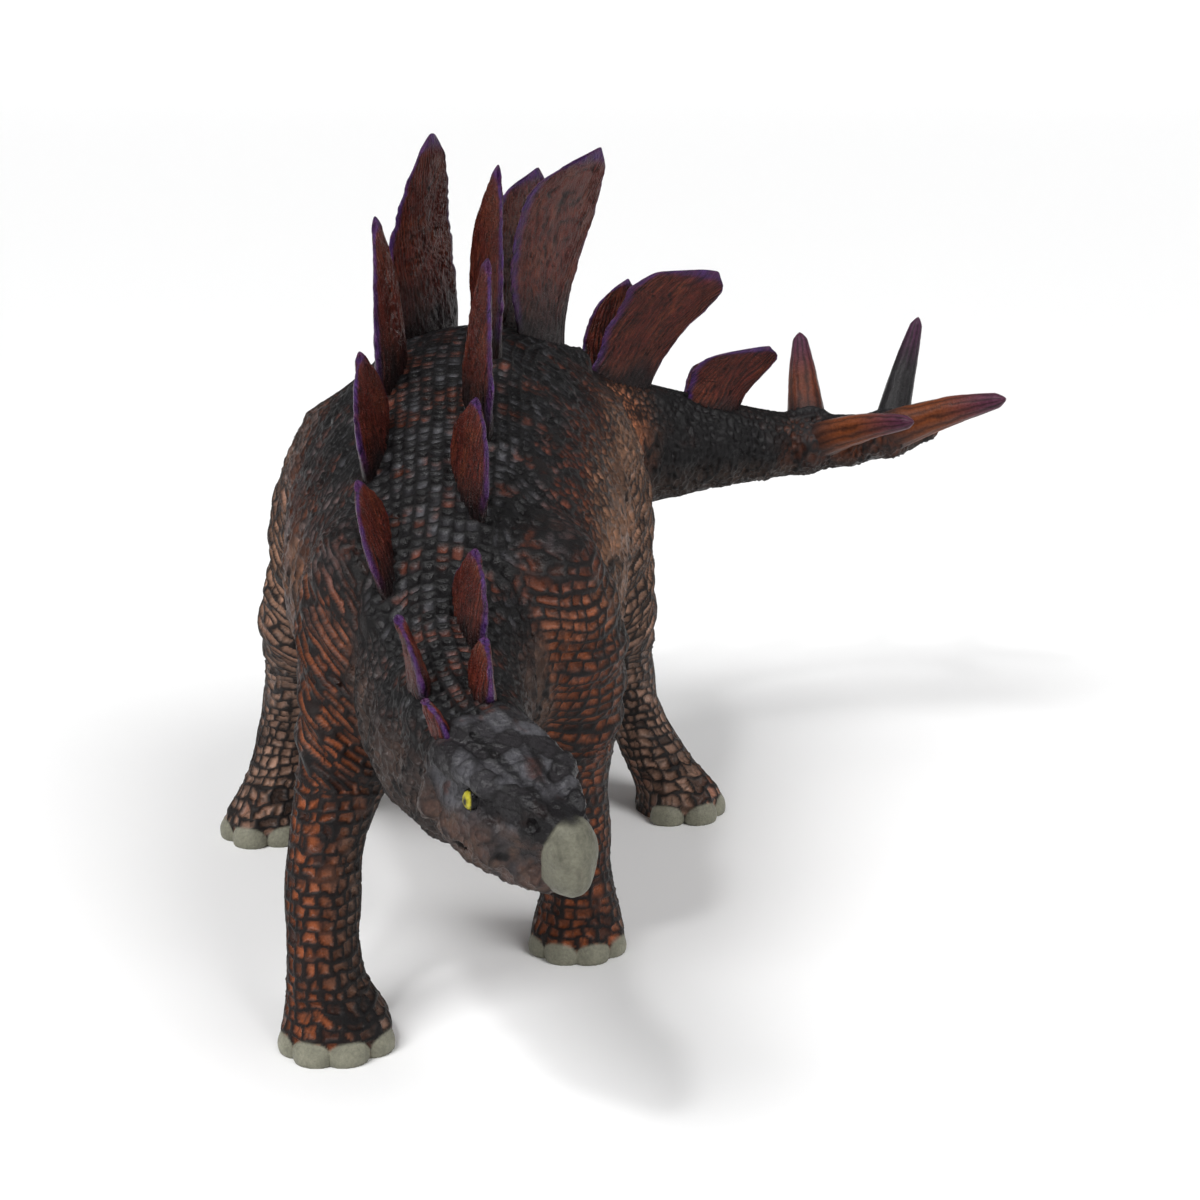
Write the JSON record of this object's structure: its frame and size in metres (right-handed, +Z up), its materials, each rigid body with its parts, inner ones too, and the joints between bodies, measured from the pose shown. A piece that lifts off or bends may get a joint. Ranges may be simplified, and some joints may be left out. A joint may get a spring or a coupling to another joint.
{
  "type": "stuffed dinosaur figure",
  "caption": "Soft-skinned stegosaurus toy figure, painted and fibre-stuffed, with leaf-shaped back plates, tail spikes and a tail swung to one side.",
  "frame": {"origin": "centre of the overall bounding box, on the plane of the soles", "axes": "+Z up, -Y the way the trunk faces, +X the animal's left, towards which the head turns and the tail swings"},
  "size_m": [0.2098, 0.2908, 0.176],
  "materials": {
    "hide": "hand-painted soft vinyl, satin, red-brown with a black back and dark creases",
    "plate": "hand-painted soft vinyl, satin, dark maroon with violet edges",
    "spike": "hand-painted soft vinyl, satin, brown with violet tips",
    "fibre": "loose white polyester fibre"
  },
  "bodies": {
    "root": {"torso_skin": "hide", "torso_filling": "fibre", "head_neck_skin": "hide", "head_neck_filling": "fibre", "tail_skin": "hide", "tail_filling": "fibre", "foreleg_right_skin": "hide", "foreleg_right_filling": "fibre", "foreleg_left_skin": "hide", "foreleg_left_filling": "fibre", "hindleg_right_skin": "hide", "hindleg_right_filling": "fibre", "hindleg_left_skin": "hide", "hindleg_left_filling": "fibre", "plate_right_1": "plate", "plate_right_2": "plate", "plate_right_3": "plate", "plate_right_4": "plate", "plate_right_5": "plate", "plate_right_6": "plate", "plate_right_7": "plate", "plate_left_1": "plate", "plate_left_2": "plate", "plate_left_3": "plate", "plate_left_4": "plate", "plate_left_5": "plate", "plate_left_6": "plate", "tail_plate_right_1": "plate", "tail_plate_right_2": "plate", "tail_plate_left_1": "plate", "tail_plate_left_2": "plate", "tail_spike_right_1": "spike", "tail_spike_right_2": "spike", "tail_spike_left_1": "spike", "tail_spike_left_2": "spike"}
  },
  "joints": []
}
